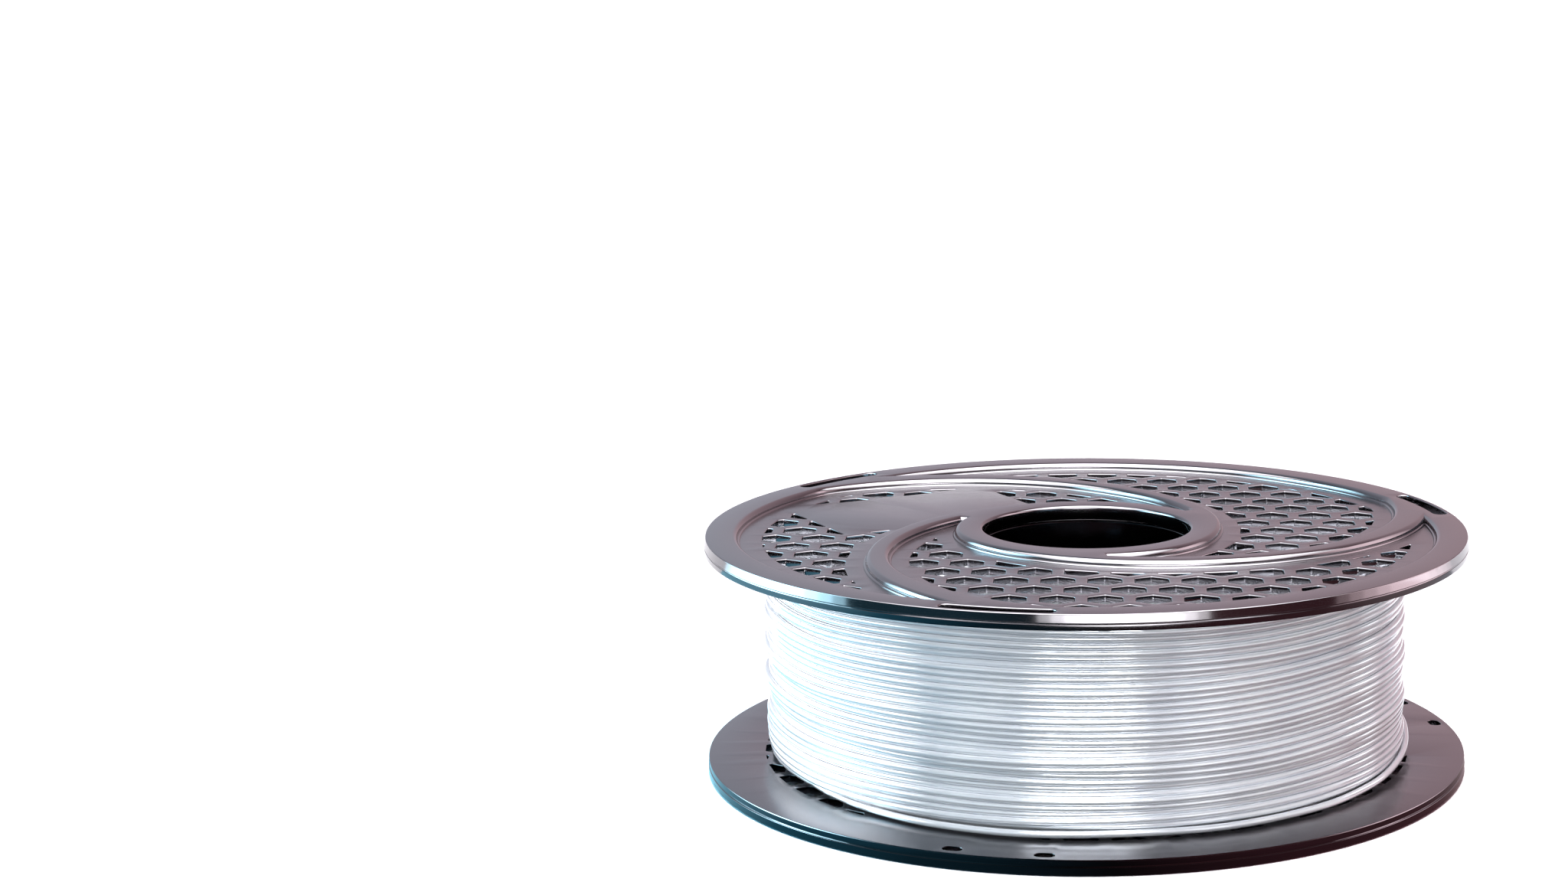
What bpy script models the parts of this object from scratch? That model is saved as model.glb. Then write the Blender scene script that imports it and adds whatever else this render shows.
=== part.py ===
"""Filament spool: two moulded flanges plugged onto a ribbed core, wound with filament.

Sizes are in millimetres and become metres where a mesh is made. The spool stands on its lower
flange: +Z is its axis, and the origin is the centre of that flange's outer face.
"""

import math

import bmesh
import bpy
from mathutils import Matrix, Vector
from mathutils.geometry import delaunay_2d_cdt

MM = 0.001

# Driving dimensions of the whole spool.
SPOOL_WIDTH = 62.6
FLANGE_R = 100.0
BORE_R = 27.3
BARREL_R = 40.0
WINDING_R = 83.8
STRAND_D = 1.75
GAP = 0.3  # clearance kept between neighbouring pieces

# Upper flange, drawn with its inner face at z = 0 and its outer face at z = FLANGE_T. The lower
# flange is its mirror image.
FLANGE_T = 4.0
PLATE_T = 1.95  # plate left under the recesses
PARTING_Z = 1.9  # height of the parting line on the rim
RIM_DRAFT = 0.4  # the rim leans in this much on both sides of the parting line
RIM_INNER_R = 92.6
HUB_RING_R = 33.3
SWIRL = 3  # arms, recesses and tie slots, each a third of a turn apart
THIRD = 360.0 / SWIRL

# A swirl arm's outer edge leaves the hub ring along two arcs that run into each other.
ARM_START = -137.0
ARM_ARC_1_R = 57.4
ARM_ARC_1_SWEEP = 46.7
ARM_ARC_2_R = 74.1
# Its inner edge is one arc, from a blunt crotch at the hub ring to the rim.
ARM_INNER_R = 66.2
ARM_INNER_CENTRE = Vector((18.6, 28.1))
CROTCH_AZIMUTH = -83.0

# Hexagon grille in each recess, kept clear of the recess walls and of the plain panel.
CELL_FLATS = 8.9
CELL_PITCH = 11.48
CELL_ROW = 9.96
CELL_ORIGIN = Vector((-1.3, -6.1))
GRILLE_MARGIN = 6.2  # kept clear along the arms and the hub ring
RIM_MARGIN = 7.4  # kept clear along the rim
LEAST_CELL_AREA = 3.0
PANEL_TURN = 30.0
PANEL_LOW = Vector((-55.3, 30.5))
PANEL_HIGH = Vector((6.0, 70.2))
PANEL_RECESS = 2  # which of the recesses carries the plain panel

# Tie slot: a channel in the rim's outer face, with a window through at each end.
TIE_AZIMUTH = 17.5
TIE_R = 96.6
CHANNEL_WIDTH = 3.8
CHANNEL_LENGTH = 28.2
CHANNEL_FLOOR = 1.5  # plate left under the channel
WINDOW_WIDTH = 3.3
WINDOW_LENGTH = 5.2
WINDOW_SPACING = 22.4

# Tongues on the inner face plug into the core between its ribs.
TONGUES = 6
TONGUE_OUTER_R = 37.2
TONGUE_WALL = 2.0
TONGUE_HEIGHT = 6.0
TONGUE_SPAN = 40.0

# Core: barrel, bore sleeve and radial ribs in one moulding.
BARREL_WALL = 2.4
SLEEVE_WALL = 2.5
RIB_T = 2.0
ANCHOR_Z = 16.0
ANCHOR_R = 1.4

ROUND_STEPS = 96
BORE_STEPS = 60
ARC_STEP = 5.0
CDT_EPSILON = 1e-5
SHARP_ANGLE = math.radians(30)

CORE_LOW = FLANGE_T + GAP
CORE_HIGH = SPOOL_WIDTH - FLANGE_T - GAP


def polar(radius, degrees):
    """The point at this radius and azimuth."""
    turn = math.radians(degrees)
    return Vector((radius * math.cos(turn), radius * math.sin(turn)))


def turned(point, degrees):
    """The point turned about the spool's axis."""
    return Matrix.Rotation(math.radians(degrees), 2) @ point


def azimuth(point):
    """The direction of a point seen from the axis, in degrees."""
    return math.degrees(math.atan2(point.y, point.x))


def arc(centre, radius, start, end, step=ARC_STEP):
    """Points along an arc from one angle to another, both ends included."""
    count = max(2, math.ceil(abs(math.radians(end - start)) * radius / step))
    return [centre + polar(radius, start + (end - start) * i / count) for i in range(count + 1)]


def circle(radius, steps):
    """A whole circle about the axis."""
    return [polar(radius, 360.0 * i / steps) for i in range(steps)]


def rim_crossing(centre, radius):
    """Azimuth where a circle's right-hand side crosses the inside of the rim."""
    reach = centre.length
    cosine = (reach**2 + RIM_INNER_R**2 - radius**2) / (2 * RIM_INNER_R * reach)
    return azimuth(centre) - math.degrees(math.acos(cosine))


def arm_outer_centres():
    """Centres of the two arcs of an arm's outer edge, and the angle where they join."""
    first = polar(HUB_RING_R - ARM_ARC_1_R, ARM_START)
    join = ARM_START + ARM_ARC_1_SWEEP
    return first, first + polar(ARM_ARC_1_R - ARM_ARC_2_R, join), join


def crotch_radius():
    """Distance from the axis to the inner edge's blunt start."""
    along = ARM_INNER_CENTRE.dot(polar(1.0, CROTCH_AZIMUTH))
    return along + math.sqrt(along**2 - ARM_INNER_CENTRE.length_squared + ARM_INNER_R**2)


def recess_outline():
    """The recess between an arm's outer edge and the inner edge of the arm before it."""
    first, second, join = arm_outer_centres()
    outer_rim = rim_crossing(second, ARM_ARC_2_R)
    inner_rim = rim_crossing(ARM_INNER_CENTRE, ARM_INNER_R) - THIRD
    inner_centre = turned(ARM_INNER_CENTRE, -THIRD)
    crotch_azimuth = CROTCH_AZIMUTH - THIRD
    crotch = polar(crotch_radius(), crotch_azimuth)
    outline = arc(Vector((0, 0)), HUB_RING_R, crotch_azimuth, ARM_START)
    outline += arc(first, ARM_ARC_1_R, ARM_START, join)[1:]
    rim_point = polar(RIM_INNER_R, outer_rim)
    outline += arc(second, ARM_ARC_2_R, join, azimuth(rim_point - second))[1:]
    outline += arc(Vector((0, 0)), RIM_INNER_R, outer_rim, inner_rim)[1:]
    start = azimuth(polar(RIM_INNER_R, inner_rim) - inner_centre)
    end = azimuth(crotch - inner_centre)
    outline += arc(inner_centre, ARM_INNER_R, start, end - 360.0)[1:]
    return outline


def beside_inner_edge(offset):
    """Whether this offset from the inner edge's centre points at that edge in the first recess."""
    inner_rim = rim_crossing(ARM_INNER_CENTRE, ARM_INNER_R) - THIRD
    start = azimuth(polar(RIM_INNER_R, inner_rim) - turned(ARM_INNER_CENTRE, -THIRD))
    return (start - azimuth(offset)) % 360.0 < 180.0


def clipped(polygon, point, normal):
    """The part of a convex polygon on the side of the line that the normal points to."""
    kept = []
    for here, there in zip(polygon, polygon[1:] + polygon[:1]):
        depth, next_depth = (here - point).dot(normal), (there - point).dot(normal)
        if depth >= 0:
            kept.append(here)
        if depth * next_depth < 0:
            kept.append(here.lerp(there, depth / (depth - next_depth)))
    return kept


def clipped_by_circle(polygon, centre, radius, inside, middle):
    """The polygon cut by the circle's tangent nearest to the polygon's middle."""
    outward = (middle - centre).normalized()
    return clipped(polygon, centre + outward * radius, -outward if inside else outward)


def clipped_by_panel(polygon, middle):
    """The polygon cut back from the nearest side of the plain panel."""
    local = turned(middle, -PANEL_TURN)
    sides = [
        (PANEL_LOW.x - local.x, PANEL_LOW, Vector((-1, 0))),
        (local.x - PANEL_HIGH.x, PANEL_HIGH, Vector((1, 0))),
        (PANEL_LOW.y - local.y, PANEL_LOW, Vector((0, -1))),
        (local.y - PANEL_HIGH.y, PANEL_HIGH, Vector((0, 1))),
    ]
    _, corner, normal = max(sides, key=lambda side: side[0])
    return clipped(polygon, turned(corner, PANEL_TURN), turned(normal, PANEL_TURN))


def area(polygon):
    """Signed area, positive anticlockwise."""
    pairs = zip(polygon, polygon[1:] + polygon[:1])
    return sum(a.x * b.y - a.y * b.x for a, b in pairs) / 2


def lattice():
    """Centres of the regular hexagon lattice across the whole flange."""
    rows = round(FLANGE_R / CELL_ROW) + 1
    columns = round(FLANGE_R / CELL_PITCH) + 1
    for row in range(-rows, rows + 1):
        for column in range(-columns, columns + 1):
            offset = Vector((column + 0.5 * (row % 2), row))
            yield CELL_ORIGIN + Vector((offset.x * CELL_PITCH, offset.y * CELL_ROW))


def cell_in_recess(middle, recess):
    """The hexagon about this centre, cut to one recess's grille."""
    corner_r = CELL_FLATS / math.sqrt(3)
    turn = -THIRD * recess
    local = turned(middle, turn)
    cell = [turned(middle + polar(corner_r, 30 + 60 * i), turn) for i in range(6)]
    axis = Vector((0, 0))
    limits = [
        (axis, RIM_INNER_R - RIM_MARGIN, True),
        (axis, HUB_RING_R + GRILLE_MARGIN, False),
    ]
    inner_centre = turned(ARM_INNER_CENTRE, -THIRD)
    if beside_inner_edge(local - inner_centre):
        limits.append((inner_centre, ARM_INNER_R - GRILLE_MARGIN, True))
    first, second, join = arm_outer_centres()
    bearing = azimuth(local - first)
    if ARM_START < bearing < join:
        limits.append((first, ARM_ARC_1_R + GRILLE_MARGIN, False))
    elif bearing >= join:
        limits.append((second, ARM_ARC_2_R + GRILLE_MARGIN, False))
    for centre, radius, inside in limits:
        cell = clipped_by_circle(cell, centre, radius, inside, local)
    cell = [turned(point, -turn) for point in cell]
    if recess == PANEL_RECESS:
        cell = clipped_by_panel(cell, middle)
    return cell


def grille_cells():
    """Every hexagon of the grille, those at its edges cut short."""
    cells = [cell_in_recess(middle, recess) for recess in range(SWIRL) for middle in lattice()]
    return [cell for cell in cells if len(cell) > 2 and area(cell) > LEAST_CELL_AREA]


def rounded_slot(middle_azimuth, length, width):
    """A slot with round ends that follows the rim."""
    half = math.degrees((length - width) / 2 / TIE_R)
    low, high = middle_azimuth - half, middle_azimuth + half
    end_r = width / 2
    outline = arc(Vector((0, 0)), TIE_R + end_r, low, high)
    outline += arc(polar(TIE_R, high), end_r, high, high + 180, 1.0)[1:]
    outline += arc(Vector((0, 0)), TIE_R - end_r, high, low)[1:]
    outline += arc(polar(TIE_R, low), end_r, low + 180, low + 360, 1.0)[1:-1]
    return outline


def ring_sector(inner_r, outer_r, middle_azimuth, inner_span, outer_span):
    """A sector of a ring, with its own span in degrees at each radius."""
    axis = Vector((0, 0))
    low, high = middle_azimuth - outer_span / 2, middle_azimuth + outer_span / 2
    outline = arc(axis, outer_r, low, high)
    low, high = middle_azimuth - inner_span / 2, middle_azimuth + inner_span / 2
    return outline + arc(axis, inner_r, high, low)


def layered_mesh(name, loops, levels):
    """A closed mesh of flat layers.

    loops are pairs of a kind and an outline. levels turns the kinds that lie over a spot into its
    bottom and top, or None for a hole.
    """
    points, outlines, kinds = [], [], []
    for kind, outline in loops:
        outline = outline if area(outline) > 0 else outline[::-1]
        outlines.append(list(range(len(points), len(points) + len(outline))))
        points += outline
        kinds.append(kind)
    flat, _, triangles, _, _, owners = delaunay_2d_cdt(points, [], outlines, 0, CDT_EPSILON)
    bm = bmesh.new()
    corners = {}

    def corner(index, z):
        if (index, z) not in corners:
            spot = flat[index]
            corners[index, z] = bm.verts.new((spot.x * MM, spot.y * MM, z * MM))
        return corners[index, z]

    def wall(a, b, low, high):
        if low < high:
            bm.faces.new([corner(a, low), corner(b, low), corner(b, high), corner(a, high)])

    spans = {}
    for triangle, owner in zip(triangles, owners):
        span = levels({kinds[index] for index in owner})
        if span is None:
            continue
        bm.faces.new([corner(index, span[1]) for index in triangle])
        bm.faces.new([corner(index, span[0]) for index in reversed(triangle)])
        for a, b in zip(triangle, triangle[1:] + triangle[:1]):
            spans[a, b] = span
    for (a, b), (bottom, top) in spans.items():
        if (b, a) not in spans:
            wall(a, b, bottom, top)
        else:
            wall(a, b, spans[b, a][1], top)
            wall(a, b, bottom, spans[b, a][0])
    return finished_mesh(name, bm)


def finished_mesh(name, bm):
    """The bmesh as a mesh, smooth shaded with its sharp edges kept."""
    mesh = bpy.data.meshes.new(name)
    bm.to_mesh(mesh)
    bm.free()
    mesh.shade_smooth()
    mesh.set_sharp_from_angle(angle=SHARP_ANGLE)
    return mesh


def flange_levels(kinds):
    """Bottom and top of the flange under these outlines."""
    if "body" not in kinds or kinds & {"bore", "cell", "window"}:
        return None
    bottom = -TONGUE_HEIGHT if "tongue" in kinds else 0.0
    if "channel" in kinds:
        return bottom, CHANNEL_FLOOR
    return bottom, PLATE_T if "recess" in kinds else FLANGE_T


def flare_rim(mesh):
    """Cuts the rim's outer wall at the parting line and moves the cut out to the full radius."""
    bm = bmesh.new()
    bm.from_mesh(mesh)
    wall_r = (FLANGE_R - RIM_DRAFT) * MM
    upright = [face for face in bm.faces if abs(face.normal.z) < 0.5]
    wall = [f for f in upright if all(v.co.xy.length > wall_r * 0.9999 for v in f.verts)]
    edges = {edge for face in wall for edge in face.edges}
    verts = {vert for face in wall for vert in face.verts}
    cut = bmesh.ops.bisect_plane(
        bm,
        geom=wall + list(edges) + list(verts),
        plane_co=(0, 0, PARTING_Z * MM),
        plane_no=(0, 0, 1),
    )
    for item in cut["geom_cut"]:
        if isinstance(item, bmesh.types.BMVert):
            item.co.xy *= FLANGE_R * MM / item.co.xy.length
    bm.to_mesh(mesh)
    bm.free()


def flange_mesh():
    """The upper flange's moulding."""
    loops = [
        ("body", circle(FLANGE_R - RIM_DRAFT, ROUND_STEPS)),
        ("bore", circle(BORE_R, BORE_STEPS)),
    ]
    recess = recess_outline()
    window_offset = math.degrees(WINDOW_SPACING / 2 / TIE_R)
    for third in range(SWIRL):
        turn = THIRD * third
        loops.append(("recess", [turned(point, turn) for point in recess]))
        loops.append(("channel", rounded_slot(TIE_AZIMUTH + turn, CHANNEL_LENGTH, CHANNEL_WIDTH)))
        for side in (-window_offset, window_offset):
            window = rounded_slot(TIE_AZIMUTH + turn + side, WINDOW_LENGTH, WINDOW_WIDTH)
            loops.append(("window", window))
    tongue_inner_r = TONGUE_OUTER_R - TONGUE_WALL
    for i in range(TONGUES):
        middle = TIE_AZIMUTH + 360.0 / TONGUES * i
        sector = ring_sector(tongue_inner_r, TONGUE_OUTER_R, middle, TONGUE_SPAN, TONGUE_SPAN)
        loops.append(("tongue", sector))
    loops += [("cell", cell) for cell in grille_cells()]
    mesh = layered_mesh("flange", loops, flange_levels)
    flare_rim(mesh)
    return mesh


def mirrored(mesh, name):
    """The mesh's mirror image in z, still facing out."""
    image = mesh.copy()
    image.name = name
    image.transform(Matrix.Scale(-1, 4, (0, 0, 1)))
    image.flip_normals()
    return image


def core_mesh():
    """The core's cross-section drawn up along the axis, from its lower end at z = 0."""
    inner_r, outer_r = BORE_R + SLEEVE_WALL, BARREL_R - BARREL_WALL
    step = 360.0 / TONGUES
    spans = [step - math.degrees(RIB_T / radius) for radius in (inner_r, outer_r)]
    loops = [("body", circle(BARREL_R, ROUND_STEPS)), ("hollow", circle(BORE_R, BORE_STEPS))]
    for i in range(TONGUES):
        sector = ring_sector(inner_r, outer_r, TIE_AZIMUTH + step * i, *spans)
        loops.append(("hollow", sector))
    height = CORE_HIGH - CORE_LOW

    def levels(kinds):
        return (0.0, height) if kinds == {"body"} else None

    return layered_mesh("core", loops, levels)


def winding_mesh():
    """The wound strand's outer shape: a ring with its shoulders rounded like the outer turns."""
    inner_r = BARREL_R + GAP
    low, high = CORE_LOW, CORE_HIGH
    shoulder = STRAND_D / 2
    profile = [Vector((inner_r, low))]
    profile += arc(Vector((WINDING_R - shoulder, low + shoulder)), shoulder, -90, 0, 0.6)
    profile += arc(Vector((WINDING_R - shoulder, high - shoulder)), shoulder, 0, 90, 0.6)
    profile.append(Vector((inner_r, high)))
    bm = bmesh.new()
    rings = []
    for i in range(ROUND_STEPS):
        spots = [(polar(point.x, 360.0 * i / ROUND_STEPS), point.y) for point in profile]
        rings.append([bm.verts.new((spot.x * MM, spot.y * MM, z * MM)) for spot, z in spots])
    for ring, following in zip(rings, rings[1:] + rings[:1]):
        for j in range(len(profile)):
            k = (j + 1) % len(profile)
            bm.faces.new([ring[j], following[j], following[k], ring[k]])
    return finished_mesh("filament_winding", bm)


def smooth_route(knots, steps):
    """Points of a Catmull-Rom curve through the knots."""
    padded = [2 * knots[0] - knots[1], *knots, 2 * knots[-1] - knots[-2]]
    route = []
    for a, b, c, d in zip(padded, padded[1:], padded[2:], padded[3:]):
        for i in range(steps):
            t = i / steps
            quadratic = (2 * a - 5 * b + 4 * c - d) * t**2
            cubic = (3 * b - a - 3 * c + d) * t**3
            route.append(0.5 * (2 * b + (c - a) * t + quadratic + cubic))
    return route + [knots[-1]]


def on_spool(radius, degrees, z):
    """A point given by radius, azimuth and height."""
    return polar(radius, degrees).to_3d() + Vector((0, 0, z))


def tail_route():
    """The outer end: off the winding, down one tie window, along the channel and up the other."""
    beside_r = WINDING_R + GAP + STRAND_D / 2
    channel_z = GAP + STRAND_D / 2
    window_z = FLANGE_T - CHANNEL_FLOOR / 2
    middle = TIE_AZIMUTH + THIRD
    down, up = -WINDOW_SPACING / 2, WINDOW_SPACING / 2

    def along_rim(distance, z, radius=TIE_R):
        """A point this far along the rim from the slot's middle."""
        return on_spool(radius, middle + math.degrees(distance / TIE_R), z)

    knots = [
        on_spool(beside_r, middle - 46, 7.6),
        on_spool(beside_r, middle - 40, 7.5),
        on_spool(beside_r + 0.2, middle - 34, 7.4),
        on_spool(beside_r + 1.4, middle - 25, 7.2),
        on_spool(beside_r + 4.4, middle - 17, 7.0),
        along_rim(down - 9.0, 6.9, TIE_R - 3.0),
        along_rim(down - 4.0, 6.4, TIE_R - 0.7),
        along_rim(down - 1.3, 5.0, TIE_R - 0.1),
        along_rim(down, window_z),
        along_rim(down + 1.0, channel_z + 0.6),
        along_rim(down + 2.4, channel_z),
        along_rim(down + 6.0, channel_z),
        along_rim(up - 6.0, channel_z),
        along_rim(up - 2.4, channel_z),
        along_rim(up - 1.0, channel_z + 0.6),
        along_rim(up, window_z),
        along_rim(up + 1.3, 5.0),
        along_rim(up + 2.3, 7.6),
        along_rim(up + 2.7, 10.6, TIE_R - 0.2),
    ]
    return smooth_route(knots, 3)


def start_route():
    """The inner end: from under the first turn, through the barrel's hole and along inside."""
    knots = [
        on_spool(BARREL_R, TIE_AZIMUTH, ANCHOR_Z),
        on_spool(BARREL_R - 2.0, TIE_AZIMUTH, ANCHOR_Z),
        on_spool(BARREL_R - 4.4, TIE_AZIMUTH, ANCHOR_Z + 0.6),
        on_spool(BARREL_R - 5.6, TIE_AZIMUTH, ANCHOR_Z + 3.4),
        on_spool(BARREL_R - 5.8, TIE_AZIMUTH, ANCHOR_Z + 8.0),
    ]
    return smooth_route(knots, 3)


def material(name, colour, roughness, metallic=0.0):
    """A plain Principled material."""
    made = bpy.data.materials.new(name)
    made.use_nodes = True
    shader = made.node_tree.nodes["Principled BSDF"]
    shader.inputs["Base Color"].default_value = (*colour, 1.0)
    shader.inputs["Roughness"].default_value = roughness
    shader.inputs["Metallic"].default_value = metallic
    return made


def place(name, data, looks, parent):
    """An object under the spool's empty."""
    thing = bpy.data.objects.new(name, data)
    thing.data.materials.clear()
    thing.data.materials.append(looks)
    thing.parent = parent
    bpy.context.scene.collection.objects.link(thing)
    return thing


def strand(name, route, looks, parent):
    """A round strand along the route."""
    curve = bpy.data.curves.new(name, "CURVE")
    curve.dimensions = "3D"
    curve.bevel_depth = STRAND_D / 2 * MM
    curve.bevel_resolution = 2
    curve.use_fill_caps = True
    spline = curve.splines.new("POLY")
    spline.points.add(len(route) - 1)
    for point, spot in zip(spline.points, route):
        point.co = (*(spot * MM), 1.0)
    return place(name, curve, looks, parent)


def cut_anchor_hole(core, parent):
    """Drills the hole for the filament's inner end through the barrel wall."""
    mesh = bpy.data.meshes.new("anchor_cutter")
    bm = bmesh.new()
    outward = Matrix.Rotation(math.radians(TIE_AZIMUTH), 4, "Z")
    across = outward @ Matrix.Rotation(math.radians(90), 4, "Y")
    bmesh.ops.create_cone(
        bm,
        cap_ends=True,
        segments=12,
        radius1=ANCHOR_R * MM,
        radius2=ANCHOR_R * MM,
        depth=2.5 * BARREL_WALL * MM,
        matrix=across,
    )
    bm.to_mesh(mesh)
    bm.free()
    cutter = bpy.data.objects.new("anchor_cutter", mesh)
    cutter.parent = parent
    cutter.location = on_spool(BARREL_R - BARREL_WALL / 2, TIE_AZIMUTH, ANCHOR_Z) * MM
    cutter.hide_render = True
    cutter.display_type = "WIRE"
    bpy.context.scene.collection.objects.link(cutter)
    hole = core.modifiers.new("anchor_hole", "BOOLEAN")
    hole.operation = "DIFFERENCE"
    hole.object = cutter


def build():
    """Makes the spool."""
    for thing in list(bpy.data.objects):
        bpy.data.objects.remove(thing)
    spool = bpy.data.objects.new("spool", None)
    bpy.context.scene.collection.objects.link(spool)

    flange_plastic = material("flange_plastic", (0.085, 0.078, 0.088), 0.22, 0.55)
    core_plastic = material("core_plastic", (0.05, 0.05, 0.055), 0.4, 0.2)
    filament = material("filament", (0.9, 0.9, 0.93), 0.2)

    flange = flange_mesh()
    upper = place("upper_flange", flange, flange_plastic, spool)
    upper.location.z = (SPOOL_WIDTH - FLANGE_T) * MM
    lower = place("lower_flange", mirrored(flange, "flange_mirrored"), flange_plastic, spool)
    lower.location.z = FLANGE_T * MM

    core = place("core", core_mesh(), core_plastic, spool)
    core.location.z = CORE_LOW * MM
    cut_anchor_hole(core, spool)

    place("filament_winding", winding_mesh(), filament, spool)
    strand("filament_tail", tail_route(), filament, spool)
    strand("filament_start", start_route(), filament, spool)


build()
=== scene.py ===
"""Looks of the filament spool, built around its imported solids.

Shapes are drawn in millimetres and become metres where a mesh is made.
"""

import math

import bpy
import numpy as np
from mathutils import Matrix, Vector
from mathutils.geometry import delaunay_2d_cdt


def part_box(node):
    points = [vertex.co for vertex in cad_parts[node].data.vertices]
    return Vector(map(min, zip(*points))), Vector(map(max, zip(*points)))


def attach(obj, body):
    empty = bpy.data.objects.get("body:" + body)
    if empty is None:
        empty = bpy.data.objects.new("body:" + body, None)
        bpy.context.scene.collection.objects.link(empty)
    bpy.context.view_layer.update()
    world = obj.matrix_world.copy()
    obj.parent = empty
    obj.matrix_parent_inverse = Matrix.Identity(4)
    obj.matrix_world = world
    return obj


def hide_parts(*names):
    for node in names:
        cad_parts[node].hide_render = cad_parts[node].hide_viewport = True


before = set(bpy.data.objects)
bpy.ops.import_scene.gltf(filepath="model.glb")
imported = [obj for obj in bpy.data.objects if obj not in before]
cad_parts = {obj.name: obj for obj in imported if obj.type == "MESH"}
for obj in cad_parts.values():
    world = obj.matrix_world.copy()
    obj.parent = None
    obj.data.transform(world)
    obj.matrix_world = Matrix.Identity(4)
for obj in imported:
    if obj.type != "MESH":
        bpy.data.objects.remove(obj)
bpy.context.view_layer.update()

MM = 0.001
BODY = "root"


def cad_box(node):
    """Lowest and highest corners of a CAD node, in millimetres."""
    low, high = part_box(node)
    return low / MM, high / MM


# Sizes read from the frame.
SPOOL_LOW, SPOOL_HIGH = cad_box("lower_flange")[0].z, cad_box("upper_flange")[1].z
CORE_LOW, CORE_HIGH = cad_box("core")[0].z, cad_box("core")[1].z
BARREL_R = cad_box("core")[1].x
FLANGE_R = cad_box("upper_flange")[1].x
WINDING_R = cad_box("filament_winding")[1].x
WINDING_LOW, WINDING_HIGH = cad_box("filament_winding")[0].z, cad_box("filament_winding")[1].z
GAP = 0.3
FLANGE_T = SPOOL_HIGH - CORE_HIGH - GAP

# Flange, as in the CAD: inner face at z = 0, outer face at z = FLANGE_T.
BORE_R = 27.3
STRAND_D = 1.75
PLATE_T = 1.95
PARTING_Z = 1.9
RIM_DRAFT = 0.4
RIM_INNER_R = 92.6
HUB_RING_R = 33.3
SWIRL = 3
THIRD = 360.0 / SWIRL
ARM_START = -137.0
ARM_ARC_1_R = 57.4
ARM_ARC_1_SWEEP = 46.7
ARM_ARC_2_R = 74.1
ARM_INNER_R = 66.2
ARM_INNER_CENTRE = Vector((18.6, 28.1))
CROTCH_AZIMUTH = -83.0
CELL_FLATS = 8.9
CELL_PITCH = 11.48
CELL_ROW = 9.96
CELL_ORIGIN = Vector((-1.3, -6.1))
GRILLE_MARGIN = 6.2
RIM_MARGIN = 7.4
LEAST_CELL_AREA = 1.5
PANEL_TURN = 30.0
PANEL_LOW = Vector((-55.3, 30.5))
PANEL_HIGH = Vector((6.0, 70.2))
PANEL_RECESS = 2
TIE_AZIMUTH = 17.5
TIE_R = 96.6
CHANNEL_WIDTH = 3.8
CHANNEL_LENGTH = 28.2
CHANNEL_FLOOR = 1.5
WINDOW_WIDTH = 3.3
WINDOW_LENGTH = 5.2
WINDOW_SPACING = 22.4
TONGUES = 6
TONGUE_OUTER_R = 37.2
TONGUE_WALL = 2.0
TONGUE_HEIGHT = 6.0
TONGUE_SPAN = 40.0
BARREL_WALL = 2.4
SLEEVE_WALL = 2.5
RIB_T = 2.0
ANCHOR_Z = 16.0

# Edge roundings and a parting groove that only the looks have.
CREST_ROUND = 1.45
FOOT_ROUND = 0.5
CELL_ROUND = 0.22
CELL_BACK_ROUND = 0.12
CELL_CORNER = 0.45
RIM_ROUND = 0.3
BORE_ROUND = 0.8
CHANNEL_ROUND = 0.3
WINDOW_ROUND = 0.12
WINDOW_INSET = 0.2  # the windows are this much narrower than in the CAD
GROOVE_LOW = 1.4
GROOVE_DEPTH = 0.22
GROOVE_EDGE = 0.06

# How finely the outlines are drawn.
RIM_STEPS = 288
BORE_STEPS = 144
ARC_STEP = 2.4
END_STEP = 0.5  # round ends of the slots
SHORTEST_SIDE = 0.25
MITRE_LIMIT = 5.5
CDT_EPSILON = 1e-5
SHARP_ANGLE = math.radians(34)

# The visible layers of the winding.
LAYER_TURNS = 31
OUTER_SAMPLES = 480  # points per turn
UNDER_SAMPLES = 150
UNDER_DEPTH = 1.45  # strand diameters from the winding's outside to the layer below
OUTER_UNEVEN = 1.0  # share of the unevenness below that each layer has
UNDER_UNEVEN = 0.3
SWELL = 0.34  # slow rise and fall of neighbouring turns
SUNK = 0.85  # how far single stretches sink in
LEFT_BULGE = 0.6
LARGEST_STEP = 1.2  # most that one turn counts as lying outside the next
LEAST_SLACK = 0.08
INNER_LAYERS = 26
RIPPLE_STEPS = 6
DEEPEST_SINK = 0.35
OUTER_SEED, UNDER_SEED, RIPPLE_SEED = 3, 8, 11
OUTER_SIDES = 12
UNDER_SIDES = 8
STRAND_SIDES = 14  # of the strands that lie free of the layers

# Stage, in metres and degrees.
FLOOR_HALF = 30.0
REFLECTOR_INNER_R = 0.0996
REFLECTOR_OUTER_R = 1.2
REFLECTOR_SPAN = (-210, 30)
REFLECTOR_LIFT = 0.00005
PANEL_GAP = 0.01  # extra distance of each panel in a stack, as a share of the first one's
SOFT_EDGE = (0.45, 0.7, 0.95, 1.2, 1.45)
HARD_EDGE = (1.0,)

AXIS = Vector((0, 0))


# Plane geometry.


def polar(radius, degrees):
    """The point at this radius and azimuth."""
    turn = math.radians(degrees)
    return Vector((radius * math.cos(turn), radius * math.sin(turn)))


def turned(point, degrees):
    """The point turned about the spool's axis."""
    return Matrix.Rotation(math.radians(degrees), 2) @ point


def azimuth(point):
    """The direction of a point seen from the axis, in degrees."""
    return math.degrees(math.atan2(point.y, point.x))


def arc(centre, radius, start, end, step=ARC_STEP):
    """Points along an arc from one angle to another, both ends included."""
    count = max(2, math.ceil(abs(math.radians(end - start)) * radius / step))
    return [centre + polar(radius, start + (end - start) * i / count) for i in range(count + 1)]


def circle(radius, steps):
    """A whole circle about the axis."""
    return [polar(radius, 360.0 * i / steps) for i in range(steps)]


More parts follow.
